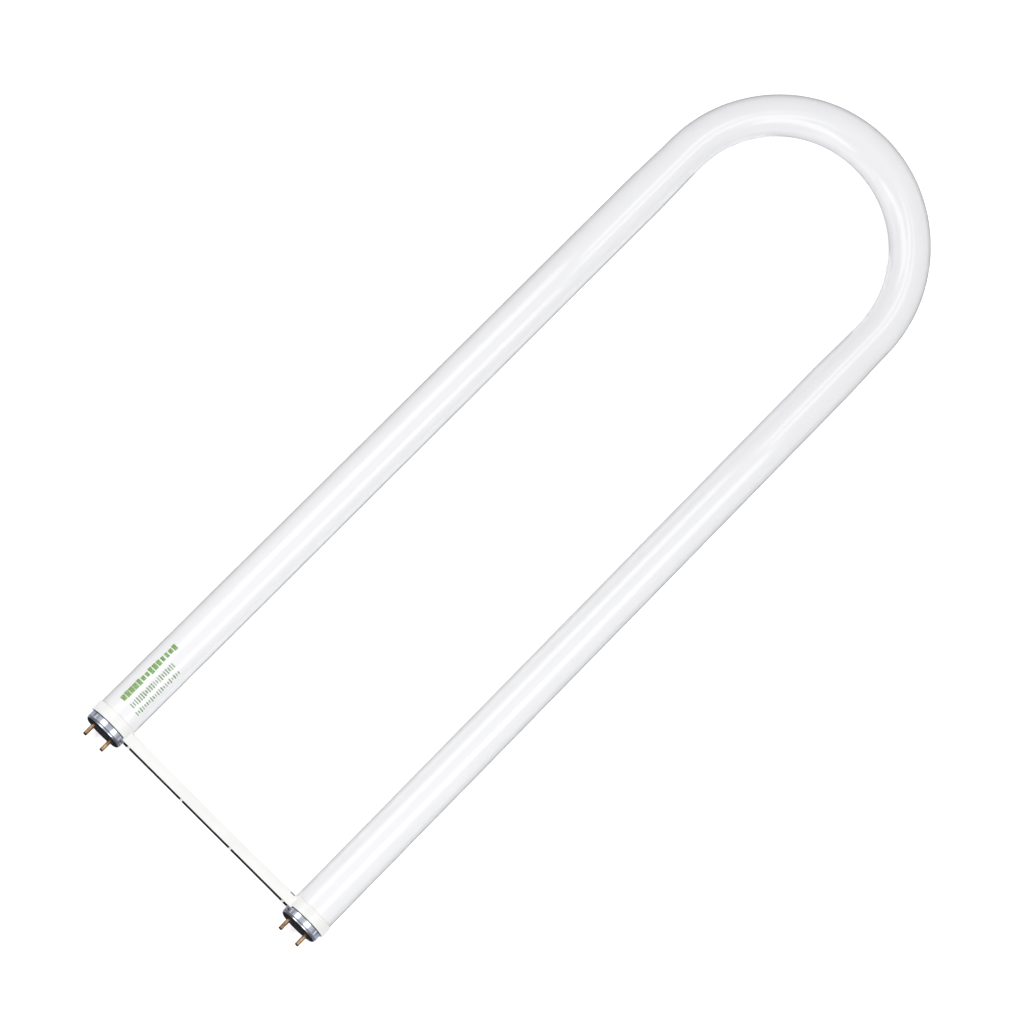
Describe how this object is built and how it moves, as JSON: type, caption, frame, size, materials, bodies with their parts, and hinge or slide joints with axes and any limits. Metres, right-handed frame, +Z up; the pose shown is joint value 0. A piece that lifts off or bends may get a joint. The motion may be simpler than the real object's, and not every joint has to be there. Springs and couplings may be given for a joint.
{
  "type": "u-shaped fluorescent bulb",
  "caption": "U-bent white fluorescent tube with a bi-pin metal cap on each leg and a ribbed plastic spacer that holds the legs apart.",
  "frame": {"origin": "on the surface the lamp lies on, under the middle of its length and width", "axes": "+X across the legs, +Y along the legs from the pins to the bend, +Z up, square to the plane of the U"},
  "size_m": [0.1796, 0.5739, 0.0272],
  "materials": {
    "glass": "gloss, white coating behind clear glass",
    "spacer_plastic": "satin moulded",
    "cap_metal": "bright drawn",
    "plate_plastic": "dark moulded",
    "pin_metal": "satin",
    "cement": "rough, set resin and marble flour",
    "wire": "drawn"
  },
  "bodies": {
    "root": {"bulb": "glass", "spacer": "spacer_plastic", "cap_left": "cap_metal", "pin_plate_left": "plate_plastic", "basing_cement_left": "cement", "pin_left_outer": "pin_metal", "lead_wire_left_outer": "wire", "pin_left_inner": "pin_metal", "lead_wire_left_inner": "wire", "cap_right": "cap_metal", "pin_plate_right": "plate_plastic", "basing_cement_right": "cement", "pin_right_outer": "pin_metal", "lead_wire_right_outer": "wire", "pin_right_inner": "pin_metal", "lead_wire_right_inner": "wire"}
  },
  "joints": []
}
